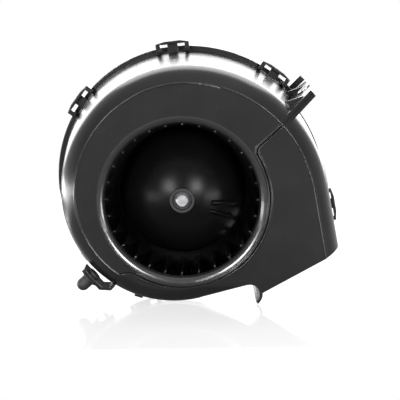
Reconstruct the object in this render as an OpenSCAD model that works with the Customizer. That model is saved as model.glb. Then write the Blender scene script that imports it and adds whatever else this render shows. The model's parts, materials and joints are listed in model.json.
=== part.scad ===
// Blower fan: a squirrel-cage wheel on a brushed motor, inside a split scroll casing.
// Millimetres. The wheel axis is Y, the air inlet faces -Y, Z is up, and the origin is
// on the wheel axis at the casing's front face. Shapes are drawn as seen from the
// inlet side, x to the right and y up, and "depth" runs away from the viewer.

/* [Scroll casing] */
// Radius of the scroll wall below the wheel, where the front shoulder ends
scroll_r = 72.3; // [70.5:0.1:76]
// Growth of the scroll radius over its left quarter
scroll_step_left = 9; // [7:0.5:12]
// Growth of the scroll radius over its top quarter
scroll_step_top = 10.4; // [8:0.1:13]
// Sideways place of the first scroll centre
scroll_x = -5.9; // [-7:0.1:-4]
// Height of the first scroll centre
scroll_z = 3.7; // [2:0.1:5]
// Depth from the front face to the rear edge
casing_d = 81; // [79:0.5:88]
// Thickness of the moulded walls
wall = 2.2; // [1.8:0.1:2.6]
// Radius of the rounded front shoulder
shoulder_r = 20; // [18:0.5:22]
// Width of the shoulder in the front view
shoulder_w = 11; // [10:0.5:12]
// Draft of the side wall, in degrees
draft = 5.3; // [3:0.1:6]
// Draft of the lower shell's side wall, in degrees
low_draft = 2.5; // [1.5:0.1:3.5]
// Height of the rim flange at the rear edge
rim_h = 3.3; // [2.8:0.1:4]
// Thickness of the rim flange
rim_t = 3; // [2.5:0.1:3.5]

/* [Inlet] */
// Radius of the inlet throat
inlet_r = 49; // [48:0.1:50]
// Radius of the rolled inlet lip
lip_r = 4.6; // [4:0.1:4.8]
// Depth of the throat's inner end
throat_d = 5; // [4.5:0.1:5.5]

/* [Seam] */
// Normal direction at which the upper seam leg crosses the scroll wall
seam_top_a = 42.5; // [41:0.1:45]
// Normal direction at which the lower seam leg crosses the scroll wall
seam_low_a = 236; // [233:0.5:238]
// Throat wall to the round part of the seam
seam_out = 6.8; // [6.4:0.1:7.4]
// Rounding where the seam turns into its upper leg
seam_top_fillet = 5; // [4:0.5:7]
// Rounding where the seam turns into its lower leg
seam_low_fillet = 10; // [7:0.5:12]
// Gap between the two shells
seam_gap = 0.2; // [0.1:0.05:0.4]
// Width of the raised bead on each side of the seam
bead_w = 1.2; // [0.9:0.1:1.5]
// Height of that bead
bead_h = 0.7; // [0.4:0.1:1]

/* [Outlet] */
// Normal direction at which the scroll runs out into the straight duct wall
duct_a = 10.7; // [8:0.1:14]
// Direction that the outlet faces
outlet_a = -60.8; // [-64:0.1:-58]
// Distance from the wheel axis to the outlet plane
outlet_reach = 77; // [75:0.5:80]
// Normal direction at which the rounded shoulder ends before the tongue
tongue_a = -76; // [-79:0.5:-75.5]
// Sideways place of the curled tongue lip
curl_x = 43.4; // [42:0.1:45]
// Height of the curled tongue lip
curl_z = -60.2; // [-62:0.1:-59]
// Outer radius of the curl
curl_r = 8.1; // [7.5:0.1:8.6]
// Thickness of the curl
curl_t = 1.9; // [1.6:0.1:2.2]
// Direction in which the curl ends
curl_end_a = -52; // [-60:1:-45]

/* [Wheel] */
// Outer radius of the wheel
wheel_r = 57; // [55:0.1:58.5]
// Radius of the blades' inner edges
blade_in_r = 47.5; // [46.5:0.1:48.5]
// Number of blades
blade_count = 28; // [20:1:36]
// Thickness of a blade
blade_t = 1; // [0.8:0.1:1.3]
// Radius of the blades' curve
blade_curve_r = 8.5; // [7.5:0.1:12]
// How far a blade's tip leads its root, in degrees
blade_lead = 6; // [3:0.5:8]
// Length of the blades between the end rings
blade_len = 45; // [42:0.5:46]
// Thickness of the end rings
ring_t = 2; // [1.6:0.1:2.4]
// Radial width of the front ring
ring_w = 3.5; // [3:0.1:4.5]
// Radius of the domed hub
dome_r = 42; // [40.5:0.1:43]
// Thickness of the dome
dome_t = 2; // [1.6:0.1:2.4]
// Radius of the hub's collar
collar_r = 7.8; // [7.4:0.1:8.6]
// Depth of the collar's front face
collar_d = 3; // [2.6:0.1:4]
// Length of the hub's collar
collar_len = 15; // [13:0.5:15.5]
// Radius of the collar's counterbore
counterbore_r = 6.2; // [5.8:0.1:6.6]
// Depth of the counterbore
counterbore_d = 3; // [2:0.1:3.5]
// Radius of the ribs on the dome
dome_rib_r = 1.6; // [1.2:0.1:2]
// Wheel front to the end of the inlet throat
wheel_gap = 2; // [1.5:0.1:3]

/* [Motor] */
// Radius of the shaft
shaft_r = 4; // [3.5:0.1:4.4]
// Depth of the shaft's front end
shaft_front_d = 2; // [1.5:0.1:2.5]
// Outer radius of the motor can
can_r = 29.5; // [28.5:0.1:30]
// Thickness of the can
can_t = 1.8; // [1.5:0.1:2.2]
// Depth of the can's front face
can_d = 24; // [23.5:0.1:26]
// Length of the can
can_len = 56; // [55:0.5:60]
// Radius of the bearing bosses
boss_r = 9.5; // [9:0.1:11]
// How far the bearing bosses stand out
boss_len = 5; // [4:0.1:5.2]
// Outer radius of the bearings
bearing_r = 7.2; // [6.6:0.1:7.8]
// Length of the bearings
bearing_len = 7; // [6:0.1:8]
// Radius of the armature core
armature_r = 19; // [17:0.1:20]
// Front thrust washer to the armature's windings
winding_gap = 4.6; // [1:0.1:6]
// Number of armature slots
slot_count = 12; // [8:1:16]
// Thickness of the field magnets
magnet_t = 6; // [4:0.1:6.5]
// Angle that each magnet spans
magnet_span = 124; // [90:1:140]
// Radius of the commutator
commutator_r = 9; // [8:0.1:10]
// Width and height of a carbon brush
brush_w = 5; // [4:0.1:5.5]
// Length of a carbon brush
brush_len = 8; // [6:0.1:8.5]
// Thickness of the plastic end cap
cap_t = 3; // [2.5:0.1:3.5]

/* [Rear cover] */
// Thickness of the cover
cover_t = 2.5; // [2:0.1:3]
// Inner radius of the motor cup
cup_r = 33; // [32:0.1:35]
// Gap between the wheel's rear ring and the heads of the motor's screws
wheel_back_gap = 2; // [1.5:0.1:4]
// Outer radius of the seat plate's pedestal
pedestal_r = 51; // [50:0.1:54]
// Gap between the motor's end and the cup's floor
cup_gap = 8.5; // [7:0.5:12]
// Width of the snap loops
loop_w = 22.8; // [20:0.1:25]
// Rise of the snap loops above the rim
loop_rise = 4; // [3.5:0.1:4.5]
// Width of the loops' legs
loop_leg = 3; // [2.5:0.1:3.5]
// Height of the bar that closes a loop in front
loop_bar = 2; // [1.6:0.1:2.4]
// Rise of that bar's middle above its ends
loop_arch = 1.2; // [0.8:0.1:1.5]
// Length of the loops, forward of the rear edge
loop_len = 10; // [9:0.1:12]
// Width of the wedge catches
catch_w = 7; // [6:0.1:9]

/* [Mountings] */
// Radius of the hole in the mounting eyelet
eye_r = 3.3; // [2.6:0.1:3.5]
// Wall of the eyelet
eyelet_t = 0.8; // [0.6:0.1:1]
// Scroll radius to the eyelet's axis
eye_gap = 14.8; // [14:0.1:16]
// Eyelet's axis to the outer edge of the seam flange
eye_edge = 8.5; // [7.5:0.1:10]
// Depth of the eyelet
eye_d = 43; // [40:0.5:46]
// Thickness of the seam flanges
flange_t = 2.4; // [2:0.1:3]
// Scroll radius to the upper seam flange's front corner
flange_front = 17.3; // [16:0.1:19]
// Scroll radius to the outer corner of the lower bracket
bracket_rise = 6.3; // [6:0.1:8]
// Length of the lower bracket's plate
bracket_len = 16.5; // [15.5:0.5:18]
// Radius of the locating peg
peg_r = 4.2; // [3.4:0.1:4.6]
// Length of the locating peg
peg_len = 11; // [9:0.5:13]
// Radius of the motor screws' shanks
screw_r = 2; // [1.7:0.1:2.2]

/* [Clearances] */
// Radial play of a running shaft
run_play = 0.03; // [0.01:0.01:0.08]
// Radial play of a pressed or seated piece
seat_play = 0.05; // [0.02:0.01:0.1]
// Play between pieces that are put in loosely
loose_play = 0.4; // [0.3:0.05:0.6]

/* [Hidden] */
$fn = 96;
eps = 0.01;
far = 260;

black_plastic = [0.12, 0.12, 0.125];
wheel_black = [0.07, 0.07, 0.075];
steel = [0.72, 0.73, 0.75];
zinc = [0.55, 0.57, 0.6];
copper = [0.72, 0.42, 0.24];
ferrite = [0.2, 0.2, 0.22];
bronze = [0.6, 0.45, 0.26];
carbon = [0.16, 0.16, 0.17];
rubber = [0.1, 0.1, 0.1];

function dir(a) = [cos(a), sin(a)];
// Scroll: three arcs about centres that step round a small rectangle
centres = [
    [scroll_x, scroll_z],
    [scroll_x + scroll_step_left, scroll_z],
    [scroll_x + scroll_step_left, scroll_z - scroll_step_top]
];
radii = [
    scroll_r,
    scroll_r + scroll_step_left,
    scroll_r + scroll_step_left + scroll_step_top
];

// Section of the shoulder and the drafted wall, as offsets from the scroll radius
shoulder_d = sqrt(pow(shoulder_r, 2) - pow(shoulder_r - shoulder_w, 2));
wall_start_d = shoulder_d - shoulder_r * sin(draft);
// Offset of the surface that lies t inside the outer one, at a depth
function skin_start_d(t, g = draft) = shoulder_d - (shoulder_r - t) * sin(g);
function skin_o(d, t, g = draft) = d < skin_start_d(t, g)
    ? -shoulder_r + sqrt(pow(shoulder_r - t, 2) - pow(shoulder_d - d, 2))
    : -shoulder_r + (shoulder_r - t) * cos(g) + (d - skin_start_d(t, g)) * tan(g);
// Rear edges: draft of the wall, height of the rim; the lower shell has only a narrow lip
upper_edge = [draft, rim_h];
low_edge = [low_draft, 0.6];
function edge_o(e) = skin_o(casing_d, 0, e[0]) + e[1];
rim_o = edge_o(upper_edge);
low_rim_o = edge_o(low_edge);
// Rounded line along the shells' shoulder
line_r = 0.6;
// Flat strip at the shoulder's inner edge, which the front plate overlaps
flat_w = 0.5;
// How far curves that run into each other overlap
blend = 0.02;

// Seam between the shells; its legs lie in planes through two of the scroll centres
seam_r = inlet_r + seam_out;
// The beads stand just back from the shells' edges, and their bends are a little slimmer
bead_back = 0.2;
bead_slim = 0.06;
// Share of the gap by which the front plate stands back from the seam's legs
plate_back = 0.25;
// How far the seam's flanges stand back from its legs
flange_back = 0.05;
top_gap_a = round(100 * asin(seam_gap / radii[2])) / 100;
low_gap_a = round(100 * asin(seam_gap / radii[0])) / 100;

// Depths of the wheel and the motor
wheel_front_d = throat_d + wheel_gap;
ring_back_d = wheel_front_d + blade_len;
dome_d = collar_d + dome_t + dome_r;
can_back_d = can_d + can_len;
bearing_front_d = can_d - boss_len + 0.5;
bearing_back_d = can_back_d + cap_t + boss_len - 0.5 - bearing_len;
shaft_back_d = bearing_back_d + bearing_len + 0.3;
brush_d = can_back_d - 5;
commutator_d = brush_d - 4;
commutator_len = 8;
winding_len = 7;
washer_t = 0.8;
washer_play = 0.1;
washer_front_d = bearing_front_d + bearing_len + washer_play;
washer_back_d = bearing_back_d - washer_play - washer_t;
washer_r = bearing_r - 0.5;
armature_d = washer_front_d + washer_t + winding_gap + winding_len;
armature_len = commutator_d - 1 - winding_len - armature_d;
magnet_over = 3;
cup_end_d = can_back_d + cap_t + boss_len + cup_gap + cover_t;
magnet_r = can_r - can_t - seat_play;
holder_t = 1.2;
holder_in_r = commutator_r + 2;
holder_out_r = can_r - can_t - 1;
brush_in_r = commutator_r + 0.35;
spring_r = 1.7;
spring_wire = 0.35;

// The motor's flange, its rubber isolators and its screws
isolator_len = 4;
isolator_r = 5;
motor_flange_t = 2;
screw_ring_r = can_r + 12;
screw_head_r = 3.8;
screw_head_t = 2;
screw_boss_r = 4.6;
screw_past = 4;
screw_angles = [90, 210, 330];
motor_flange_d = ring_back_d + ring_t + wheel_back_gap + screw_head_t;
// Depth of the cover's face on which the isolators sit
seat_d = motor_flange_d + motor_flange_t + isolator_len;

// Snap loops on the upper shell: arc number, direction; on the lower shell: direction, place on the duct
loops = [[2, 54.4], [1, 96.6], [1, 144.3], [0, 226.3]];
low_loop_a = 253.8;
duct_loop_s = 26.5;
// Small foot under the lower shell
foot_a = 252;
foot_w = 7.4;
foot_h = 5.1;
foot_d = 29;
// Tab on the cover's edge, beside the seam flange
tab_a = 45;
tab_w = 4.2;
tab_out = 20;
curl_start_a = 110;
// The tongue's wedge starts just behind the front face
tongue_step = 0.15;

// The mounting eyelet and the seam flange around it
eye_out = radii[2] + eye_gap;
flange_rear_r = eye_out + eye_edge;
flange_front_r = radii[2] + flange_front;

// The lower bracket and its peg
bracket_r = scroll_r + bracket_rise;
bracket_tilt = 14;
bracket_d0 = 6;
bracket_d1 = 21;
// The bracket's outer corner lies this far over the upper shell
bracket_over = 4.6;
peg_d = (bracket_d0 + bracket_d1) / 2;
peg_along = 8.8;

// Connector on the cup
socket_w = 20;
socket_h = 14;
socket_len = 11;
socket_t = 1.6;
socket_y = 18;
blade_w = 6.3;
blade_gap = 8.6;
blade_thick = 0.8;
spigot_play = 0.2;

// Frames
module front_view() {
    rotate([90, 0, 0]) children();
}

module at_depth(d) {
    translate([0, 0, -d]) children();
}

// A plate between two depths, from a front-view outline
module slab(d0, d1) {
    translate([0, 0, -d1]) linear_extrude(d1 - d0) children();
}

// A profile drawn as radius and depth, turned about the local axis
module turned(a0 = 0, a1 = 360) {
    rotate([0, 0, a0]) rotate_extrude(angle = a1 - a0) mirror([0, 1]) children();
}

// A profile drawn as distance and depth, swept sideways from y to y - t
module swept(t) {
    rotate([90, 0, 0]) linear_extrude(t) mirror([0, 1]) children();
}

module tube(r_out, r_in, d0, d1) {
    slab(d0, d1) difference() {
        circle(r_out);
        circle(r_in);
    }
}

module wedge_2d(a0, a1) {
    polygon([[0, 0], far * dir(a0), far * dir((a0 + a1) / 2), far * dir(a1)]);
}

// Place on the scroll: x outward, y along the wall
module at_arc(i, a, o) {
    translate(concat(centres[i] + (radii[i] + o) * dir(a), 0)) rotate([0, 0, a]) children();
}

module at_duct(s, o) {
    translate(concat(centres[2] + (radii[2] + o) * dir(duct_a), 0))
        rotate([0, 0, duct_a]) translate([0, -s, 0]) children();
}

module at_low_loops() {
    at_arc(0, low_loop_a, 0) children();
    at_duct(duct_loop_s, 0) children();
}

// Section of what lies inside a surface t under the casing's skin, with the scroll radius at zero
module filled_section(t, d_end, g = draft) {
    x_in = -shoulder_w - 30;
    x_crease = -shoulder_r + sqrt(pow(shoulder_r - t, 2) - pow(shoulder_d - t, 2));
    d_wall = skin_start_d(t, g);
    x_wall = skin_o(d_wall, t, g) - blend;
    d_past = d_wall + 3;
    polygon([
        [x_in, t],
        [x_crease - 2, t],
        [x_wall - 1, d_wall - 3],
        [x_wall, d_wall],
        [skin_o(d_end, t, g) - blend, d_end],
        [x_in, d_end]
    ]);
    intersection() {
        translate([-shoulder_r, shoulder_d]) circle(shoulder_r - t);
        polygon([[x_crease - 4, t], [4, t], [4, d_past], [x_wall - 5, d_past]]);
    }
}

module wall_section(e, line = false) {
    difference() {
        union() {
            filled_section(0, casing_d, e[0]);
            translate([-shoulder_w, casing_d - rim_t]) square([shoulder_w + edge_o(e), rim_t]);
            if (line) translate([line_r - shoulder_w - 0.1, line_r / 2]) circle(line_r);
        }
        filled_section(wall, casing_d + 1, e[0]);
        translate([-far, -1]) square([far - shoulder_w - flat_w, casing_d + 3]);
    }
}

// An arc of the scroll wall, swept from one direction to another, either way round
module scroll_arc(i, from, to, e, line = false) {
    translate(concat(centres[i], 0)) rotate([0, 0, from]) mirror([0, from < to ? 0 : 1, 0])
        turned(0, abs(to - from)) translate([radii[i], 0]) wall_section(e, line);
}

// Directions in which the round part of the seam ends
top_fillet_c = fillet_c(leg_top(0), seam_top_fillet);
low_fillet_c = fillet_c(leg_low(0), seam_low_fillet);
top_end_a = atan2(top_fillet_c[1], top_fillet_c[0]);
low_end_a = 360 + atan2(low_fillet_c[1], low_fillet_c[0]);
// Direction past the tongue, from which the lower shell has room for its bead
curl_bead_a = atan2(curl_z, curl_x) + 4;

// The seam's legs: a point, the direction outward and the normal that leaves the lower shell
function leg_top(grow) = let (a = seam_top_a + grow * top_gap_a) [centres[2], dir(a), dir(a + 90)];
function leg_low(grow) = let (a = seam_low_a - grow * low_gap_a) [centres[0], dir(a), dir(a - 90)];
// Centre of the rounding between a leg and the round part of the seam
function fillet_c(leg, f) = let (h = leg[0] * leg[2] - f + blend)
    h * leg[2] + sqrt(pow(seam_r + f - blend, 2) - h * h) * leg[1];

module beyond_leg_2d(leg) {
    polygon([
        leg[0] - far * leg[1],
        leg[0] + far * leg[1],
        leg[0] + far * leg[1] + far * leg[2],
        leg[0] - far * leg[1] + far * leg[2]
    ]);
}

module seam_corner_2d(leg, f, grow) {
    c = fillet_c(leg, f);
    foot = c + ((leg[0] - c) * leg[2] + 3) * leg[2];
    difference() {
        polygon([foot - 20 * leg[1], foot, c, c * (seam_r - 5) / (seam_r + f)]);
        translate(c) circle(f + grow * seam_gap);
    }
}

// What belongs to the upper shell; grow = 1 keeps the gap clear
module upper_zone_2d(grow) {
    circle(seam_r - grow * seam_gap);
    beyond_leg_2d(leg_top(grow));
    beyond_leg_2d(leg_low(grow));
    seam_corner_2d(leg_top(grow), seam_top_fillet, grow);
    seam_corner_2d(leg_low(grow), seam_low_fillet, grow);
}

// Room for the start of the lower shell's shoulder, beside the lower leg
module low_corner_2d() {
    r = scroll_r - shoulder_w - flat_w - seam_gap;
    a = seam_low_a - (1 + 2 * plate_back) * low_gap_a;
    translate(centres[0]) polygon([r * dir(a), r * dir(a + 5), (r + 8) * dir(a + 5), (r + 8) * dir(a)]);
}

// Raised bead beside part of the round seam
module seam_bead(r_in, a0, a1) {
    turned(a0, a1) bead_2d(r_in);
}

// Raised bead round the seam's upper corner and beside its upper leg
module top_bead(f_in, y0) {
    leg_start = (top_fillet_c - centres[2]) * dir(seam_top_a);
    leg_end = radii[2] - shoulder_w;
    lap = 3;
    translate(top_fillet_c) turned(seam_top_a + 90, top_end_a + 180 + lap) bead_2d(f_in, bead_slim);
    on_top_leg() translate([leg_start - 0.3, y0, 0]) rotate([90, 0, 90])
        linear_extrude(leg_end - leg_start) mirror([0, 1]) bead_2d(0, 2 * bead_slim);
}

module bead_2d(r_in, slim = 0) {
    x0 = r_in + slim;
    x1 = r_in + bead_w - slim;
    y0 = slim - bead_h;
    c = bead_w / 4;
    polygon([[x0, wall / 2], [x0, y0 + c], [x0 + c, y0], [x1 - c, y0], [x1, y0 + c], [x1, wall / 2]]);
}

// Seam flange of the upper leg, in the leg's own plane: distance and depth
module top_flange_2d(g) {
    r = radii[2];
    inner = [for (d = [1.5, 4, 8, 12, skin_start_d(0, g), casing_d]) [r + skin_o(d, wall / 2, g), d]];
    outer = [
        [r + rim_o, casing_d],
        [flange_rear_r, casing_d - 12],
        [flange_rear_r, eye_d + 15],
        [flange_front_r, wall_start_d + 2],
        [r - shoulder_w + 0.5, 0]
    ];
    difference() {
        polygon(concat(inner, outer));
        translate([eye_out, eye_d]) circle(eye_r + eyelet_t + seat_play);
    }
}

module on_top_leg() {
    translate(concat(centres[2], 0)) rotate([0, 0, seam_top_a]) children();
}

// Triangular gusset between the upper seam flange and the wall
module gusset(d, tip_r) {
    foot = 8.5;
    root = radii[2] + skin_o(d, wall / 2);
    on_top_leg() slab(d - 1, d + 1)
        polygon([[root, seam_gap + 0.5], [tip_r, seam_gap + 0.5], [root - 0.4, foot]]);
}

module catch(e) {
    step_o = edge_o(e) + loop_rise - 0.8;
    d0 = casing_d - loop_len + loop_leg + loose_play;
    d1 = casing_d - 0.2;
    translate([0, catch_w / 2, 0]) swept(catch_w)
        polygon([
            [skin_o(d0, wall / 2, e[0]), d0],
            [step_o, d0],
            [step_o, d0 + 1],
            [edge_o(e) - 1, d1],
            [skin_o(d1, wall / 2, e[0]), d1]
        ]);
}

// Room in the rim flange for a loop's legs
module loop_notch(e) {
    o = skin_o(casing_d, 0, e[0]) + loose_play;
    w = loop_w + 2 * loose_play;
    translate([o, -w / 2, -casing_d - 1]) cube([loop_rise + e[1] + 2, w, rim_t + 2]);
}

module inlet_ring() {
    turned() {
        intersection() {
            translate([inlet_r + lip_r, lip_r]) difference() {
                circle(lip_r);
                circle(lip_r - wall);
            }
            translate([inlet_r - 1, -1]) square([lip_r + 1, lip_r + 1]);
        }
        translate([inlet_r + blend, lip_r - 0.3])
            square([wall - 2 * blend, throat_d - lip_r + 0.3]);
    }
}

module upper_shell() {
    color(black_plastic) front_view() {
        difference() {
            union() {
                scroll_arc(0, 180, seam_low_a - low_gap_a, upper_edge, true);
                scroll_arc(1, 90, 180, upper_edge, true);
                scroll_arc(2, 90, seam_top_a + top_gap_a, upper_edge, true);
            }
            for (l = loops) at_arc(l[0], l[1], 0) loop_notch(upper_edge);
        }
        slab(0, wall) difference() {
            intersection() {
                front_outline_2d();
                upper_zone_2d(1 + plate_back);
            }
            circle(inlet_r + lip_r - flat_w);
            low_corner_2d();
        }
        inlet_ring();
        seam_bead(seam_r - seam_gap - bead_back - bead_w, low_end_a, 360 + top_end_a);
        top_bead(seam_top_fillet + seam_gap + bead_back, seam_gap + bead_back);
        for (l = loops) at_arc(l[0], l[1], 0) catch(upper_edge);
        on_top_leg() translate([0, seam_gap + flange_t, 0]) swept(flange_t - flange_back) top_flange_2d(draft);
        gusset(wall_start_d + 4, flange_front_r - 1.5);
        gusset(eye_d + 16, flange_rear_r - 2);
    }
}

function arc_points(i, a0, a1, o, n) =
    [for (k = [1:n]) centres[i] + (radii[i] + o) * dir(a0 + (a1 - a0) * k / n)];

// Flat front of the casing; its edge lies under the start of the shoulder
module front_outline_2d() {
    o = -shoulder_w - flat_w / 2;
    side = centres[2] + (radii[2] + o) * dir(duct_a);
    curl = [curl_x, curl_z];
    difference() {
        polygon(concat(
            [side + 90 * [sin(duct_a), -cos(duct_a)], side],
            arc_points(2, duct_a, 90, o, 20),
            arc_points(1, 90, 180, o, 22),
            arc_points(0, 180, 360 + tongue_a, o, 28),
            [curl + (curl_r - 0.5) * dir(curl_start_a), curl + 40 * dir(outlet_a)]
        ));
        rotate(outlet_a) translate([outlet_reach, -far / 2]) square(far);
        translate(curl) circle(curl_r - curl_t);
    }
}

// Straight outer wall of the duct, cut off at the outlet
module duct_wall() {
    difference() {
        translate(concat(centres[2], 0)) rotate([0, 0, duct_a]) swept(outlet_reach)
            translate([radii[2], 0]) wall_section(low_edge, true);
        rotate([0, 0, outlet_a]) translate([outlet_reach, -far / 2, -casing_d - 10])
            cube([far, far, casing_d + 40]);
    }
}

// Hollow wedge in which the rounded shoulder fades into the tongue
module tongue() {
    curl_edge = [curl_x, curl_z] + (curl_r - curl_t / 2) * dir(curl_start_a);
    inward = (centres[0] - curl_edge) / norm(centres[0] - curl_edge);
    difference() {
        hull() {
            tongue_slice(-0.5, 0.4, 0.1, shoulder_w + flat_w, tongue_step, casing_d - 0.1);
            translate(curl_edge) slab(tongue_step, casing_d - 0.2) circle(curl_t / 2 - 0.1, $fn = 24);
        }
        hull() {
            tongue_slice(-2, 0.2, wall - 0.2, 30, wall, casing_d + 1);
            for (in = [curl_t / 2 + wall, 25])
                translate(curl_edge + in * inward) slab(wall, casing_d + 1) circle(1, $fn = 24);
        }
        slab(-5, throat_d) circle(seam_r + bead_back / 2);
    }
}

// Thin slice of the scroll's section where the tongue begins
module tongue_slice(before, past, t, w, d0, d1) {
    translate(centres[0]) turned(tongue_a + before, tongue_a + past, $fn = 40)
        translate([scroll_r, 0]) intersection() {
            filled_section(t, d1, low_draft, $fn = 40);
            translate([-w, d0]) square([w + 20, d1]);
        }
}

module curl() {
    translate([curl_x, curl_z, 0]) turned(curl_end_a, curl_start_a)
        translate([curl_r - curl_t, 0]) square([curl_t, casing_d]);
}

// Bracket on the lower seam leg, which carries the locating peg
module on_low_leg() {
    translate(concat(centres[0], 0)) rotate([0, 0, seam_low_a]) children();
}

module at_peg() {
    on_low_leg() translate([bracket_r, -bracket_over, -peg_d]) rotate([0, 0, -bracket_tilt])
        translate([0, -peg_along, 0]) rotate([0, 90, 0]) children();
}

module bracket() {
    root = scroll_r - wall * 0.8;
    corner = [bracket_r, -bracket_over];
    along = -[sin(bracket_tilt), cos(bracket_tilt)];
    inward = flange_t * [-cos(bracket_tilt), sin(bracket_tilt)];
    on_low_leg() slab(bracket_d0, bracket_d1) polygon([
        [root, flange_back],
        [root + 3.2, flange_back],
        corner + inward,
        corner + inward + bracket_len * along,
        corner + bracket_len * along,
        corner,
        [root + 4.2, flange_t - 0.4],
        [root, flange_t + 0.2]
    ]);
}

// Small foot under the lower shell
module foot() {
    o = skin_o(foot_d, wall / 2, low_draft);
    at_arc(0, foot_a, 0) slab(foot_d, foot_d + 5) polygon([
        [o, -foot_w / 2],
        [foot_h, 1 - foot_w / 2],
        [foot_h, foot_w / 2 - 1],
        [o, foot_w / 2]
    ]);
}

module lower_shell() {
    color(black_plastic) front_view() {
        difference() {
            union() {
                scroll_arc(0, seam_low_a, 360 + tongue_a, low_edge);
                scroll_arc(2, duct_a, seam_top_a, low_edge, true);
                duct_wall();
            }
            at_low_loops() loop_notch(low_edge);
        }
        slab(0, wall) difference() {
            front_outline_2d();
            upper_zone_2d(-plate_back);
        }
        tongue();
        curl();
        seam_bead(seam_r + bead_back, low_end_a, low_end_a + 20);
        seam_bead(seam_r + bead_back, curl_bead_a, top_end_a);
        top_bead(seam_top_fillet - bead_back - bead_w, -bead_back - bead_w);
        foot();
        at_low_loops() catch(low_edge);
        on_top_leg() translate([0, -flange_back, 0]) swept(flange_t - flange_back) top_flange_2d(low_draft);
        difference() {
            bracket();
            at_peg() cylinder(r = peg_r - 1.2 + seat_play, h = 20, center = true);
        }
    }
}

// Outline of the casing at its rear edge
module scroll_outline_2d() {
    o = low_rim_o;
    side = centres[2] + (radii[2] + o) * dir(duct_a);
    along = [sin(duct_a), -cos(duct_a)];
    arcs = [
        [0, 180, seam_low_a, rim_o],
        [1, 90, 180, rim_o],
        [2, seam_top_a, 90, rim_o],
        [0, seam_low_a - 20, 360 + tongue_a - 0.3, o],
        [2, duct_a + 0.3, seam_top_a + 20, o]
    ];
    difference() {
        union() {
            for (s = arcs)
                translate(centres[s[0]]) intersection() {
                    circle(radii[s[0]] + s[3]);
                    wedge_2d(s[1], s[2]);
                }
            polygon([
                centres[0],
                centres[1],
                centres[2],
                centres[2] + (radii[2] + o - 3) * dir(duct_a + 6),
                side,
                side + 90 * along,
                [curl_x, curl_z] + 40 * dir(outlet_a),
                [curl_x, curl_z] + (curl_r - 0.5) * dir(curl_start_a),
                centres[0] + (radii[0] + o) * dir(tongue_a),
                centres[0] + (radii[0] + o - 3) * dir(tongue_a - 6)
            ]);
        }
        rotate(outlet_a) translate([outlet_reach, -far / 2]) square(far);
        translate([curl_x, curl_z]) circle(curl_r - curl_t);
    }
}

module snap_loop(e) {
    o_foot = skin_o(casing_d - loop_len, 0, e[0]) + loose_play + loop_len * tan(e[0]);
    loop_o = edge_o(e) + loop_rise;
    d0 = casing_d - loop_len;
    step = 0.1;
    d1 = casing_d + cover_t - step;
    y1 = loop_w / 2 - step;
    for (s = [-1, 1])
        translate([o_foot, s * (loop_w - loop_leg) / 2 - loop_leg / 2, -d1])
            cube([loop_o - loop_arch - step - o_foot, loop_leg, d1 - d0]);
    slab(d0 + step, d0 + loop_leg) polygon([
        [loop_o - loop_bar, y1],
        [loop_o - loop_arch, y1],
        [loop_o, y1 - 2 * loop_leg],
        [loop_o, 2 * loop_leg - y1],
        [loop_o - loop_arch, -y1],
        [loop_o - loop_bar, -y1]
    ]);
    translate([-4, 2 * step - loop_w / 2, 2 * step - d1])
        cube([edge_o(e) + 4 - 2 * step, loop_w - 4 * step, cover_t - 4 * step]);
}

module rear_cover() {
    color(black_plastic) front_view() {
        difference() {
            union() {
                slab(casing_d, casing_d + cover_t) scroll_outline_2d();
                for (l = loops) at_arc(l[0], l[1], 0) snap_loop(upper_edge);
                at_low_loops() snap_loop(low_edge);
                at_arc(2, tab_a, 0) slab(casing_d + 0.2, casing_d + cover_t - 0.2)
                    translate([rim_o - 3, -tab_w / 2]) square([tab_out + 3 - rim_o, tab_w]);
            }
            slab(casing_d - 1, casing_d + cover_t + 1) circle(pedestal_r - cover_t);
        }
        difference() {
            union() {
                turned() {
                    translate([pedestal_r - cover_t, seat_d])
                        square([cover_t, casing_d + cover_t - seat_d]);
                    translate([cup_r, seat_d]) square([pedestal_r - cup_r, cover_t]);
                    translate([cup_r, seat_d]) square([cover_t, cup_end_d - seat_d]);
                    translate([0, cup_end_d - cover_t]) square([cup_r + cover_t, cover_t]);
                }
                at_screws() slab(seat_d + 1, seat_d + cover_t + screw_past + 1) circle(screw_boss_r);
            }
            at_screws() slab(seat_d - 1, seat_d + cover_t + screw_past + 2) circle(screw_r + seat_play);
            translate([0, socket_y, 0]) slab(cup_end_d - cover_t - 1, cup_end_d + 1)
                square([socket_w - 2 * socket_t, socket_h - 2 * socket_t], center = true);
            for (a = [205:45:335]) rotate([0, 0, a]) translate([20, 0, 0])
                slab(cup_end_d - cover_t - 1, cup_end_d + 1) circle(2.5);
        }
    }
}

// Plug socket, pushed into the window in the cup's end
module connector_socket() {
    inner = [socket_w - 2 * socket_t, socket_h - 2 * socket_t];
    spigot = inner - 2 * spigot_play * [1, 1];
    color(wheel_black) front_view() translate([0, socket_y, 0]) difference() {
        union() {
            slab(cup_end_d, cup_end_d + socket_len) square([socket_w, socket_h], center = true);
            slab(cup_end_d - cover_t - 0.5, cup_end_d + 1) square(spigot, center = true);
        }
        slab(cup_end_d + 2, cup_end_d + socket_len + 1) square(inner, center = true);
        for (s = [-1, 1]) translate([s * blade_gap / 2, 0, 0])
            slab(cup_end_d - cover_t - 1, cup_end_d + 3)
                square([blade_w + 2 * seat_play, blade_thick + 2 * seat_play], center = true);
    }
}

// Steel eyelet that clamps the two seam flanges
module mounting_eyelet() {
    grip = 2 * flange_t + seam_gap;
    head = 1;
    color(steel) front_view() on_top_leg() translate([eye_out, seam_gap + flange_t, -eye_d])
        rotate([90, 0, 0]) rotate_extrude() {
            translate([eye_r, -head]) square([eyelet_t, grip + 2 * head]);
            translate([eye_r, -head]) square([eyelet_t + 0.9, head]);
            translate([eye_r, grip]) square([eyelet_t + 0.9, head]);
        }
}

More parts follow.
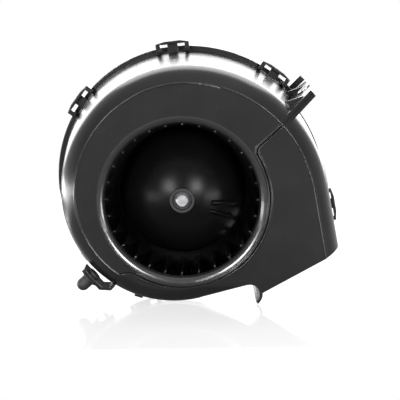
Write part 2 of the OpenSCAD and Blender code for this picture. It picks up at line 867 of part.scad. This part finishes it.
// Rubber peg, plugged through the bracket's plate
module locating_peg() {
    color(rubber) front_view() at_peg() rotate_extrude() {
        stem_r = peg_r - 1.2;
        translate([0, -flange_t - 1.6]) square([peg_r, 1.6]);
        translate([0, -flange_t]) square([stem_r, flange_t + 1]);
        square([peg_r + 1.6, 1.6]);
        square([peg_r, peg_len - peg_r]);
        intersection() {
            translate([0, peg_len - peg_r]) circle(peg_r);
            translate([0, peg_len - peg_r - 1]) square([peg_r + 1, peg_r + 2]);
        }
    }
}

// One forward-curved blade: an arc from its root to its tip
module blade(a) {
    tip_r = wheel_r - ring_w / 2;
    root = blade_in_r * dir(a);
    tip = tip_r * dir(a - blade_lead);
    chord = tip - root;
    half = norm(chord) / 2;
    across = [chord[1], -chord[0]] / (2 * half);
    c = (root + tip) / 2 + across * sqrt(pow(blade_curve_r, 2) - half * half);
    a_root = atan2(root[1] - c[1], root[0] - c[0]);
    span = 2 * asin(half / blade_curve_r);
    translate(concat(c, 0)) turned(a_root - span, a_root)
        translate([blade_curve_r - blade_t / 2, wheel_front_d + 0.5])
            square([blade_t, blade_len]);
}

module dome_rib(a, r_in, r_out) {
    rise_in = acos(r_in / dome_r);
    rise_out = acos(r_out / dome_r);
    rotate([0, 0, a]) at_depth(dome_d) rotate([90, 0, 0]) rotate([0, 0, rise_out]) {
        rotate_extrude(angle = rise_in - rise_out) translate([dome_r, 0]) circle(dome_rib_r, $fn = 24);
        translate([dome_r, 0, 0]) sphere(dome_rib_r + 0.4, $fn = 32);
    }
}

module fan_wheel() {
    color(wheel_black) front_view() {
        turned() difference() {
            union() {
                intersection() {
                    translate([0, dome_d]) difference() {
                        circle(dome_r);
                        circle(dome_r - dome_t);
                    }
                    translate([0, collar_d]) square([dome_r + 1, dome_d - collar_d]);
                }
                translate([dome_r - dome_t, dome_d - 1]) square([dome_t, ring_back_d + ring_t - dome_d + 1]);
                translate([dome_r - dome_t, ring_back_d]) square([wheel_r - dome_r + dome_t, ring_t]);
                translate([0, collar_d]) square([collar_r, collar_len]);
            }
            translate([-1, 0]) square([shaft_r + seat_play + 1, collar_d + collar_len + 1]);
            translate([-1, 0]) square([counterbore_r + 1, collar_d + counterbore_d]);
        }
        turned() translate([wheel_r - ring_w, wheel_front_d]) square([ring_w, ring_t]);
        for (k = [0:blade_count - 1]) blade(k * 360 / blade_count);
        dome_rib(-7, 19, 34.6);
        dome_rib(-23, 19, 33);
    }
}

// Push-on ring that holds the wheel on the shaft
module shaft_clip() {
    clip_d = collar_d + counterbore_d;
    color(zinc) front_view()
        tube(counterbore_r - loose_play, shaft_r + seat_play, clip_d - 1, clip_d);
}

module motor_shaft() {
    tip = 0.6;
    color(steel) front_view() turned() polygon([
        [0, shaft_front_d],
        [shaft_r - tip, shaft_front_d],
        [shaft_r, shaft_front_d + tip],
        [shaft_r, shaft_back_d - tip],
        [shaft_r - tip, shaft_back_d],
        [0, shaft_back_d]
    ]);
}

module armature_core() {
    slot_w = 2 * armature_r * sin(180 / slot_count) * 0.35;
    slot_floor = armature_r * 0.58;
    color(zinc) front_view() slab(armature_d, armature_d + armature_len) difference() {
        circle(armature_r);
        circle(shaft_r + seat_play);
        for (k = [0:slot_count - 1]) rotate(k * 360 / slot_count)
            translate([slot_floor, -slot_w / 2]) square([armature_r, slot_w]);
    }
}

// End turns on both sides of the core
module armature_windings() {
    r_in = shaft_r + 2;
    r_out = armature_r - 1;
    color(copper) front_view() turned() {
        for (d = [armature_d - winding_len, armature_d + armature_len])
            translate([r_in, d]) difference() {
                square([r_out - r_in, winding_len]);
                translate([r_out - r_in, d < armature_d ? 0 : winding_len]) circle(2);
            }
    }
}

module commutator() {
    bars = 2 * slot_count;
    color(copper) front_view() slab(commutator_d, commutator_d + commutator_len) difference() {
        circle(commutator_r);
        circle(shaft_r + seat_play);
        for (k = [0:slot_count - 1]) rotate(k * 360 / slot_count)
            translate([commutator_r - 0.8, -0.25]) square([2, 0.5]);
    }
}

module thrust_washers() {
    color(zinc) front_view() for (d = [washer_front_d, washer_back_d])
        tube(washer_r, shaft_r + seat_play, d, d + washer_t);
}

module motor_can() {
    bore = bearing_r + seat_play;
    color(zinc) front_view() turned() {
        translate([can_r - can_t, can_d]) square([can_t, can_len]);
        translate([bore, can_d]) square([can_r - bore, can_t]);
        translate([bore, can_d - boss_len]) square([boss_r - bore, boss_len + can_t]);
        translate([shaft_r + 1, can_d - boss_len]) square([boss_r - shaft_r - 1, 0.5]);
    }
}

module field_magnets() {
    color(ferrite) front_view() for (a = [0, 180])
        turned(a - magnet_span / 2, a + magnet_span / 2)
            translate([magnet_r - magnet_t, armature_d - magnet_over])
                square([magnet_t, armature_len + 2 * magnet_over]);
}

module bearing(d) {
    color(bronze) front_view() tube(bearing_r, shaft_r + run_play, d, d + bearing_len);
}

module front_bearing() {
    bearing(bearing_front_d);
}

module rear_bearing() {
    bearing(bearing_back_d);
}

// Box in which a brush slides, on the cap's inner face
module brush_holder() {
    half = brush_w / 2 + 0.15;
    difference() {
        translate([holder_in_r, -half - holder_t, -can_back_d - holder_t])
            cube([holder_out_r - holder_in_r, 2 * (half + holder_t), can_back_d - brush_d + half + 2 * holder_t]);
        translate([holder_in_r - 1, -half, -brush_d - half])
            cube([holder_out_r - holder_in_r - holder_t + 1, 2 * half, 2 * half]);
    }
}

module motor_end_cap() {
    bore = bearing_r + seat_play;
    d_end = can_back_d + cap_t;
    color(wheel_black) front_view() {
        difference() {
            union() {
                turned() {
                    translate([bore, can_back_d]) square([can_r - bore, cap_t]);
                    translate([bore, can_back_d]) square([boss_r - bore, cap_t + boss_len]);
                    translate([shaft_r + 1, d_end + boss_len - 0.5]) square([boss_r - shaft_r - 1, 0.5]);
                }
                for (a = [90, 270]) rotate([0, 0, a]) brush_holder();
            }
            for (s = [-1, 1]) translate([s * blade_gap / 2, socket_y, 0])
                slab(can_back_d + 0.4, d_end + 1)
                    square([blade_w + 2 * seat_play, blade_thick + 2 * seat_play], center = true);
        }
    }
}

module brush(a) {
    color(carbon) front_view() rotate([0, 0, a])
        difference() {
            translate([brush_in_r - 0.4, -brush_w / 2, -brush_d - brush_w / 2])
                cube([brush_len + 0.4, brush_w, brush_w]);
            slab(brush_d - brush_w, brush_d + brush_w) circle(brush_in_r);
        }
}

module brush_upper() {
    brush(90);
}

module brush_lower() {
    brush(270);
}

// Coil spring between a brush and the end of its holder
module brush_spring(a) {
    x0 = brush_in_r + brush_len + 0.05;
    x1 = holder_out_r - holder_t - 0.05;
    turns = 5;
    wire_a = 120;
    color(steel) front_view() rotate([0, 0, a]) translate([x0, 0, -brush_d]) rotate([0, 90, 0])
        linear_extrude(x1 - x0, twist = 360 * turns, slices = 16 * turns, $fn = 8)
            polygon(concat([for (a = [0:20:wire_a]) spring_r * dir(a)],
                [for (a = [wire_a:-20:0]) (spring_r - spring_wire) * dir(a)]));
}

module brush_spring_upper() {
    brush_spring(90);
}

module brush_spring_lower() {
    brush_spring(270);
}

// Two flat blades from the end cap into the connector
module power_terminals() {
    color(bronze) front_view() for (s = [-1, 1]) translate([s * blade_gap / 2, socket_y, 0])
        slab(can_back_d + 0.5, cup_end_d + socket_len - 2) square([blade_w, blade_thick], center = true);
}

module motor_flange() {
    ear_r = 6;
    color(zinc) front_view() slab(motor_flange_d, motor_flange_d + motor_flange_t) difference() {
        union() {
            circle(can_r + 5);
            for (a = screw_angles) rotate(a) {
                translate([screw_ring_r, 0]) circle(ear_r);
                translate([0, -ear_r]) square([screw_ring_r, 2 * ear_r]);
            }
        }
        circle(can_r + seat_play);
        for (a = screw_angles) rotate(a) translate([screw_ring_r, 0]) circle(screw_r + loose_play);
    }
}

module at_screws() {
    for (a = screw_angles) rotate([0, 0, a]) translate([screw_ring_r, 0, 0]) children();
}

module motor_isolators() {
    color(rubber) front_view() at_screws()
        tube(isolator_r, screw_r + loose_play, seat_d - isolator_len, seat_d);
}

module motor_screws() {
    color(steel) front_view() at_screws() {
        slab(motor_flange_d - screw_head_t, motor_flange_d) circle(screw_head_r);
        slab(motor_flange_d - 0.5, seat_d + cover_t + screw_past) circle(screw_r);
    }
}

upper_shell();
lower_shell();
rear_cover();
mounting_eyelet();
locating_peg();
fan_wheel();
shaft_clip();
motor_shaft();
armature_core();
armature_windings();
commutator();
thrust_washers();
motor_can();
field_magnets();
front_bearing();
rear_bearing();
motor_end_cap();
brush_upper();
brush_lower();
brush_spring_upper();
brush_spring_lower();
power_terminals();
connector_socket();
motor_flange();
motor_isolators();
motor_screws();
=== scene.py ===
"""Blower fan: procedural materials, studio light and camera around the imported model."""

import json
import math

import bpy
from mathutils import Matrix, Vector

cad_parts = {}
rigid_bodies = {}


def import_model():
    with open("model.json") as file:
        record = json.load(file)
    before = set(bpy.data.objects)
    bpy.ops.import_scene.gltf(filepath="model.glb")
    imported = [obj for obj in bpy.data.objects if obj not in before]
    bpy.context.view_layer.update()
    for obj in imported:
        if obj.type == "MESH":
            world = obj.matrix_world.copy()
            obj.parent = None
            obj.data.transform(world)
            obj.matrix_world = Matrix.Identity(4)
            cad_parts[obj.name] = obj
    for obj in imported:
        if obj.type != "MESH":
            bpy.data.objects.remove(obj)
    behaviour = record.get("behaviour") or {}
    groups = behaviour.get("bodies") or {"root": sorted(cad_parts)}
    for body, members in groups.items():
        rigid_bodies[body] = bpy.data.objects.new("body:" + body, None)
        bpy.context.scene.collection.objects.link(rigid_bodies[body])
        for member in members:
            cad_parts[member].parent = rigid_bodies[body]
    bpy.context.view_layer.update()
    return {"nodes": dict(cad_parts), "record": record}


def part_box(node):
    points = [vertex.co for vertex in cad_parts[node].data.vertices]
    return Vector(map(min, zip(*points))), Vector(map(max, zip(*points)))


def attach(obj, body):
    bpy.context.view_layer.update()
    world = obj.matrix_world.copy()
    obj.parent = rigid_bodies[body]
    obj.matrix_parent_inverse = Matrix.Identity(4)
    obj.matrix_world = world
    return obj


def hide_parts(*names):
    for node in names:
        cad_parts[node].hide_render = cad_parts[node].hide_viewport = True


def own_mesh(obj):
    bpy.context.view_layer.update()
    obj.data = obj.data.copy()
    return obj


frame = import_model()

MM = 0.001

# Camera, fitted to the photograph: it looks slightly down on the casing
CAMERA_PLACE = Vector((11.34, -686.4, 125.83)) * MM
CAMERA_PITCH = math.radians(10.3)
CAMERA_LENS = 99.7
SENSOR_WIDTH = 36.0
NEAREST_SEEN = 0.01
FARTHEST_SEEN = 50.0

# Edges that turn by more than these angles are shaded sharp
PIECE_SHARP_ANGLE = math.radians(20.0)
COIL_SHARP_ANGLE = math.radians(60.0)

# Edges of pieces that aren't metal are shaded as if rounded to this radius
EDGE_RADIUS = 0.8 * MM
EDGE_SAMPLES = 6

# Most of a noise lies in this range
NOISE_MIDDLE = (0.3, 0.7)

# Scales of the noises: features a metre, roughly
PLASTIC_CLOUDS = 35.0
PLASTIC_FINISH = 120.0
METAL_STREAKS = 900.0
METAL_FINISH = 300.0
FLOOR_CLOUDS = 3.0

# Strengths of the bumps, and the refraction of the plastics
GRAIN_STRENGTH = 0.1
SCRATCH_STRENGTH = 0.2
PLASTIC_IOR = 1.5

# Streaks of a metal along x, y and z: a number under 1 draws them out, one over 1 makes layers
TURNED = (1.0, 0.08, 1.0)
ROLLED = (0.1, 1.0, 1.0)
STACKED = (1.0, 12.0, 1.0)
WOUND = (1.0, 6.0, 1.0)
EVEN = (1.0, 1.0, 1.0)

# Extra roughness of the casing's wall fades in as a face's normal turns away from the front
WALL_FADE = (-0.4, -0.12)

# Rings near the front face, by their radii: the inlet's lip and the blades' ends are glossier,
# the wheel's collar is painted paler, as painted light on its lit front face, and the clip in it is
# darker
FRONT_DEPTH = 15.0 * MM
LIP_RADII = (48.0 * MM, 54.0 * MM)
LIP_GLOSS = 1.0
BLADE_RADII = (44.0 * MM, 58.0 * MM)
BLADE_GLOSS = 0.8
COLLAR_RADII = (0.0, 7.8 * MM)
COLLAR_PAINTED_LIGHT = 0.03
CLIP_LEVEL = 0.055

# Brush springs: round wire, with end turns that lie closer than the middle ones
WIRE_RADIUS = 0.3 * MM
WIRE_SIDES = 8
SPRING_TURNS = 6
STEPS_A_TURN = 24
END_CLOSING = 0.5

# Room: it brightens between these parts of a direction, along y to the back and along z to the top
BEHIND_FADE = (-0.3, 0.6)
ABOVE_FADE = (0.55, 0.9)

# The casing stands on its front shoulder, its rear rim and the outlet's curl,
# so the floor is tilted in the casing's own frame
FLOOR_PITCH = math.radians(-8.3)
FLOOR_ROLL = math.radians(-0.8)
FLOOR_SIZE = 6.0

# The floor ends this far in front of the inlet, so that it hides little in a level view
FLOOR_FRONT = 154.0 * MM

# Look of the floor
FLOOR_DARK = (0.18, 0.18, 0.18)
FLOOR_LIGHT = (0.22, 0.22, 0.22)
FLOOR_ROUGHNESS = 0.06
FLOOR_IOR = 1.2
FLOOR_GLOW = 0.7

# Point that the softboxes face; the two cards aim elsewhere
CASING_MIDDLE = (0.0, 0.04, 0.0)


def make_camera():
    data = bpy.data.cameras.new("camera")
    data.lens = CAMERA_LENS
    data.sensor_width = SENSOR_WIDTH
    data.clip_start = NEAREST_SEEN
    data.clip_end = FARTHEST_SEEN
    camera = bpy.data.objects.new("camera", data)
    camera.location = CAMERA_PLACE
    camera.rotation_euler = (math.pi / 2 - CAMERA_PITCH, 0.0, 0.0)
    bpy.context.scene.collection.objects.link(camera)
    bpy.context.scene.camera = camera


# Material building blocks


def maths(tree, operation, *values):
    """The result of one operation on values that are each a socket or a number."""
    node = tree.nodes.new("ShaderNodeMath")
    node.operation = operation
    for socket, value in zip(node.inputs, values):
        if isinstance(value, bpy.types.NodeSocket):
            tree.links.new(value, socket)
        else:
            socket.default_value = value
    return node.outputs["Value"]


def carry_over(tree, value, source, target):
    """A value moved from one range to another, and kept within it."""
    node = tree.nodes.new("ShaderNodeMapRange")
    for name, number in zip(("From Min", "From Max", "To Min", "To Max"), (*source, *target)):
        node.inputs[name].default_value = number
    tree.links.new(value, node.inputs["Value"])
    return node.outputs["Result"]


def parts_along(tree, vector):
    """The parts of a vector, named X, Y and Z."""
    node = tree.nodes.new("ShaderNodeSeparateXYZ")
    tree.links.new(vector, node.inputs["Vector"])
    return node.outputs


class Shader:
    """A material's node tree, with short calls for the nodes used here."""

    def __init__(self, name):
        self.name = name
        self.material = bpy.data.materials.new(name)
        self.material.use_nodes = True
        self.tree = self.material.node_tree
        self.nodes = self.tree.nodes
        self.links = self.tree.links
        self.nodes.clear()
        self.output = self.nodes.new("ShaderNodeOutputMaterial")
        self.surface = self.nodes.new("ShaderNodeBsdfPrincipled")
        self.links.new(self.surface.outputs["BSDF"], self.output.inputs["Surface"])
        coordinates = self.nodes.new("ShaderNodeTexCoord")
        self.place = coordinates.outputs["Object"]
        self.normal = coordinates.outputs["Normal"]

    def set(self, socket, value):
        self.surface.inputs[socket].default_value = value

    def noise(self, scale, detail=2.0, stretch=None):
        place = self.place
        if stretch is not None:
            mapping = self.nodes.new("ShaderNodeMapping")
            mapping.inputs["Scale"].default_value = stretch
            self.links.new(place, mapping.inputs["Vector"])
            place = mapping.outputs["Vector"]
        node = self.nodes.new("ShaderNodeTexNoise")
        node.inputs["Scale"].default_value = scale
        node.inputs["Detail"].default_value = detail
        self.links.new(place, node.inputs["Vector"])
        return node.outputs["Fac"]

    def spread(self, value, low, high):
        """Maps the middle of a noise to the range from low to high."""
        return carry_over(self.tree, value, NOISE_MIDDLE, (low, high))

    def mix_base(self, factor, second):
        """Mixes a second colour into the base colour, and returns the socket for the first."""
        node = self.nodes.new("ShaderNodeMix")
        node.data_type = "RGBA"
        ends = [socket for socket in node.inputs if socket.type == "RGBA"]
        ends[1].default_value = (*second, 1.0)
        self.links.new(factor, node.inputs["Factor"])
        result = next(socket for socket in node.outputs if socket.type == "RGBA")
        self.links.new(result, self.surface.inputs["Base Color"])
        return ends[0]

    def colours(self, value, first, second):
        """Sets the base colour between two colours."""
        self.mix_base(value, second).default_value = (*first, 1.0)

    def tint(self, mask, colour):
        """Paints over the base colour where the mask is 1."""
        base = self.surface.inputs["Base Color"].links[0].from_socket
        self.links.new(base, self.mix_base(mask, colour))

    def on_walls(self, value, extra):
        """Adds to a value on faces that don't look forward, such as the scroll wall."""
        facing = parts_along(self.tree, self.normal)["Y"]
        return maths(self.tree, "ADD", value, carry_over(self.tree, facing, WALL_FADE, (0.0, extra)))

    def front_ring(self, inner, outer):
        """1 between two radii from the wheel's axis, near the front face, and 0 elsewhere."""
        across = self.nodes.new("ShaderNodeVectorMath")
        across.operation = "MULTIPLY"
        across.inputs[1].default_value = (1.0, 0.0, 1.0)
        self.links.new(self.place, across.inputs[0])
        length = self.nodes.new("ShaderNodeVectorMath")
        length.operation = "LENGTH"
        self.links.new(across.outputs["Vector"], length.inputs[0])
        reach = length.outputs["Value"]
        within = maths(self.tree, "COMPARE", reach, (inner + outer) / 2, (outer - inner) / 2)
        depth = parts_along(self.tree, self.place)["Y"]
        near = maths(self.tree, "LESS_THAN", depth, FRONT_DEPTH)
        return maths(self.tree, "MULTIPLY", within, near)

    def polish(self, mask, gloss):
        """Raises the gloss where the mask is 1."""
        level = self.surface.inputs["Specular IOR Level"]
        self.links.new(carry_over(self.tree, mask, (0.0, 1.0), (level.default_value, gloss)), level)

    def roughness(self, value):
        self.links.new(value, self.surface.inputs["Roughness"])

    def rounded_edges(self):
        node = self.nodes.new("ShaderNodeBevel")
        node.samples = EDGE_SAMPLES
        node.inputs["Radius"].default_value = EDGE_RADIUS
        return node.outputs["Normal"]

    def bump(self, value, strength, distance, normal=None):
        node = self.nodes.new("ShaderNodeBump")
        if normal is not None:
            self.links.new(normal, node.inputs["Normal"])
        node.inputs["Strength"].default_value = strength
        node.inputs["Distance"].default_value = distance
        self.links.new(value, node.inputs["Height"])
        self.links.new(node.outputs["Normal"], self.surface.inputs["Normal"])


def plastic(name, dark, light, roughness, grain, depth, gloss=0.5, wall_texture=0.0):
    """Plastic or the like: two tones, a range of roughness, and a grain by its scale and depth in mm."""
    shader = Shader(name)
    shader.colours(shader.spread(shader.noise(PLASTIC_CLOUDS), 0.0, 1.0), dark, light)
    finish = shader.spread(shader.noise(PLASTIC_FINISH, detail=3.0), *roughness)
    if wall_texture:
        finish = shader.on_walls(finish, wall_texture)
    shader.roughness(finish)
    edges = shader.rounded_edges()
    shader.bump(shader.noise(grain, detail=1.0), GRAIN_STRENGTH, depth * MM, edges)
    shader.set("IOR", PLASTIC_IOR)
    shader.set("Specular IOR Level", gloss)
    return shader


def metal(name, dark, light, roughness, stretch, depth):
    """A metal: two tones, a range of roughness, and streaks by their stretch and depth in mm."""
    shader = Shader(name)
    streaks = shader.noise(METAL_STREAKS, detail=3.0, stretch=stretch)
    shader.colours(shader.spread(streaks, 0.0, 1.0), dark, light)
    shader.roughness(shader.spread(shader.noise(METAL_FINISH), *roughness))
    shader.bump(streaks, SCRATCH_STRENGTH, depth * MM)
    shader.set("Metallic", 1.0)
    return shader


def grey(level, blue=1.03):
    """A grey with a trace more blue."""
    return (level, level, level * blue)


def make_materials():
    casing = plastic(
        "casing_plastic", grey(0.008), grey(0.011), (0.205, 0.235), grain=1400.0, depth=0.006,
        gloss=0.36, wall_texture=0.06,
    )
    casing.polish(casing.front_ring(*LIP_RADII), LIP_GLOSS)
    wheel = plastic(
        "wheel_plastic", grey(0.0015), grey(0.0025), (0.28, 0.36), grain=700.0, depth=0.3, gloss=0.1
    )
    # Painted light: the collar's front face is painted paler than the rest of the wheel's plastic, where
    # the lamps fall on it
    wheel.tint(wheel.front_ring(*COLLAR_RADII), grey(COLLAR_PAINTED_LIGHT))
    wheel.polish(wheel.front_ring(*BLADE_RADII), BLADE_GLOSS)
    zinc = metal("zinc_plate", (0.11, 0.115, 0.12), (0.16, 0.165, 0.17), (0.4, 0.5), ROLLED, depth=0.01)
    zinc.tint(zinc.front_ring(*COLLAR_RADII), grey(CLIP_LEVEL))
    shaders = [
        casing,
        wheel,
        zinc,
        plastic("motor_plastic", grey(0.008), grey(0.013), (0.42, 0.55), grain=1500.0, depth=0.03),
        plastic("ferrite", grey(0.03), grey(0.05), (0.55, 0.7), grain=2500.0, depth=0.04),
        plastic("carbon", grey(0.012), grey(0.025), (0.5, 0.65), grain=2500.0, depth=0.04),
        plastic("rubber", grey(0.008), grey(0.014), (0.55, 0.7), grain=2200.0, depth=0.04),
        metal("bright_steel", grey(0.46), grey(0.6), (0.28, 0.4), TURNED, depth=0.01),
        metal("laminations", grey(0.16), grey(0.26), (0.4, 0.55), STACKED, depth=0.03),
        metal("copper", (0.5, 0.2, 0.1), (0.7, 0.33, 0.17), (0.25, 0.4), WOUND, depth=0.03),
        metal("brass", (0.6, 0.43, 0.19), (0.72, 0.54, 0.27), (0.22, 0.36), ROLLED, depth=0.01),
        metal("bronze", (0.38, 0.26, 0.13), (0.5, 0.35, 0.18), (0.45, 0.6), EVEN, depth=0.03),
    ]
    return {shader.name: shader.material for shader in shaders}


def dress_nodes(materials):
    for row in frame["record"]["subparts"]:
        piece = frame["nodes"][row["node"]]
        mesh = piece.data
        mesh.materials.clear()
        mesh.materials.append(materials[row["material_slot"]])
        mesh.polygons.foreach_set("material_index", [0] * len(mesh.polygons))
        mesh.polygons.foreach_set("use_smooth", [True] * len(mesh.polygons))
        mesh.set_sharp_from_angle(angle=PIECE_SHARP_ANGLE)


# Brush springs


def coil_mesh(name, low, high):
    """A tube along a helix that fills the box between two corners."""
    middle = (low + high) / 2
    coil_radius = (high.x - low.x) / 2 - WIRE_RADIUS
    climb = high.z - low.z - 2 * WIRE_RADIUS
    last_ring = SPRING_TURNS * STEPS_A_TURN
    corners = []
    for ring in range(last_ring + 1):
        share = ring / last_ring
        angle = math.tau * SPRING_TURNS * share
        outward = Vector((math.cos(angle), math.sin(angle), 0.0))
        height = share - END_CLOSING * math.sin(math.tau * share) / math.tau
        axis_point = Vector((middle.x, middle.y, low.z + WIRE_RADIUS + climb * height))
        centre = axis_point + coil_radius * outward
        for side in range(WIRE_SIDES):
            turn = math.tau * side / WIRE_SIDES
            across = math.cos(turn) * outward + math.sin(turn) * Vector((0.0, 0.0, 1.0))
            corners.append(centre + WIRE_RADIUS * across)
    last_corner = len(corners) - 1
    faces = [list(range(WIRE_SIDES)), list(range(last_corner, last_corner - WIRE_SIDES, -1))]
    for ring in range(last_ring):
        here = ring * WIRE_SIDES
        ahead = here + WIRE_SIDES
        for side in range(WIRE_SIDES):
            beside = (side + 1) % WIRE_SIDES
            faces.append([here + side, ahead + side, ahead + beside, here + beside])
    mesh = bpy.data.meshes.new(name)
    mesh.from_pydata(corners, [], faces)
    mesh.polygons.foreach_set("use_smooth", [True] * len(mesh.polygons))
    mesh.set_sharp_from_angle(angle=COIL_SHARP_ANGLE)
    return mesh


def make_springs(materials):
    """A round-wire spring stands for each plain one, on its joint's parent body."""
    slots = {row["node"]: row["material_slot"] for row in frame["record"]["subparts"]}
    for joint in frame["record"]["behaviour"]["joints"]:
        for row in joint.get("deforming_nodes", []):
            low, high = (Vector(corner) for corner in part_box(row["node"]))
            mesh = coil_mesh(row["node"] + "_coil", low, high)
            mesh.materials.append(materials[slots[row["node"]]])
            spring = bpy.data.objects.new(mesh.name, mesh)
            bpy.context.scene.collection.objects.link(spring)
            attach(spring, joint["parent"])
            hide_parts(row["node"])
            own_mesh(spring)


# Studio


def make_world(front, above, behind):
    """White for the camera; for other rays a room that is dark in front, lighter above and behind."""
    world = bpy.data.worlds.new("studio")
    world.use_nodes = True
    bpy.context.scene.world = world
    tree = world.node_tree
    tree.nodes.clear()
    output = tree.nodes.new("ShaderNodeOutputWorld")
    background = tree.nodes.new("ShaderNodeBackground")
    background.inputs["Color"].default_value = (1.0, 1.0, 1.0, 1.0)
    direction = parts_along(tree, tree.nodes.new("ShaderNodeTexCoord").outputs["Generated"])
    back = carry_over(tree, direction["Y"], BEHIND_FADE, (front, behind))
    top = carry_over(tree, direction["Z"], ABOVE_FADE, (front, above))
    strength = tree.nodes.new("ShaderNodeMix")
    strength.data_type = "FLOAT"
    strength.inputs["B"].default_value = 1.0
    seen = tree.nodes.new("ShaderNodeLightPath").outputs["Is Camera Ray"]
    tree.links.new(seen, strength.inputs["Factor"])
    tree.links.new(maths(tree, "MAXIMUM", back, top), strength.inputs["A"])
    tree.links.new(strength.outputs["Result"], background.inputs["Strength"])
    tree.links.new(background.outputs["Background"], output.inputs["Surface"])


def floor_material():
    """A grey, slightly glossy floor that glows for the camera alone, so that it shows almost white."""
    shader = Shader("floor_white")
    shader.colours(shader.spread(shader.noise(FLOOR_CLOUDS), 0.0, 1.0), FLOOR_DARK, FLOOR_LIGHT)
    shader.set("Roughness", FLOOR_ROUGHNESS)
    shader.set("IOR", FLOOR_IOR)
    glow = shader.nodes.new("ShaderNodeEmission")
    seen = shader.nodes.new("ShaderNodeLightPath").outputs["Is Camera Ray"]
    shader.links.new(maths(shader.tree, "MULTIPLY", seen, FLOOR_GLOW), glow.inputs["Strength"])
    added = shader.nodes.new("ShaderNodeAddShader")
    shader.links.new(shader.surface.outputs["BSDF"], added.inputs[0])
    shader.links.new(glow.outputs["Emission"], added.inputs[1])
    shader.links.new(added.outputs["Shader"], shader.output.inputs["Surface"])
    return shader.material


def make_floor():
    """A tilted plane that touches the part at its lowest point."""
    turn = Matrix.Rotation(FLOOR_PITCH, 4, "X") @ Matrix.Rotation(FLOOR_ROLL, 4, "Y")
    up = turn.to_3x3() @ Vector((0.0, 0.0, 1.0))
    lowest = min(v.co.dot(up) for node in frame["nodes"].values() for v in node.data.vertices)
    half = FLOOR_SIZE / 2
    corners = [
        (-half, -FLOOR_FRONT, 0.0),
        (half, -FLOOR_FRONT, 0.0),
        (half, half, 0.0),
        (-half, half, 0.0),
    ]
    mesh = bpy.data.meshes.new("floor")
    mesh.from_pydata([turn @ Vector(c) + lowest * up for c in corners], [], [(0, 1, 2, 3)])
    mesh.materials.append(floor_material())
    floor = bpy.data.objects.new("floor", mesh)
    bpy.context.scene.collection.objects.link(floor)


def softbox(name, place, target, size, power):
    data = bpy.data.lights.new(name, "AREA")
    data.shape = "RECTANGLE"
    data.size = size[0]
    data.size_y = size[1]
    data.energy = power
    lamp = bpy.data.objects.new(name, data)
    lamp.location = place
    aim = Vector(target) - Vector(place)
    lamp.rotation_euler = aim.to_track_quat("-Z", "Y").to_euler()
    lamp.visible_camera = False
    bpy.context.scene.collection.objects.link(lamp)


make_camera()
finishes = make_materials()
dress_nodes(finishes)
make_springs(finishes)
make_world(front=0.3, above=0.8, behind=1.0)
make_floor()
softbox("left_softbox", (-0.5, -1.05, 0.3), CASING_MIDDLE, (0.3, 0.4), 14.0)
softbox("right_softbox", (0.5, -1.05, 0.3), CASING_MIDDLE, (0.3, 0.4), 14.0)
softbox("left_card", (-0.42, -0.05, -0.055), (0.0, -0.05, -0.055), (0.9, 0.06), 2.6)
softbox("right_card", (0.235, -0.145, -0.025), (0.085, 0.0, 0.0), (0.12, 0.07), 0.4)
softbox("back_softbox", (0.0, 1.3, 0.3), CASING_MIDDLE, (2.6, 0.75), 26.0)
softbox("top_softbox", (0.0, 0.9, 1.0), CASING_MIDDLE, (1.6, 0.7), 12.0)

bpy.context.scene.view_settings.view_transform = "Standard"
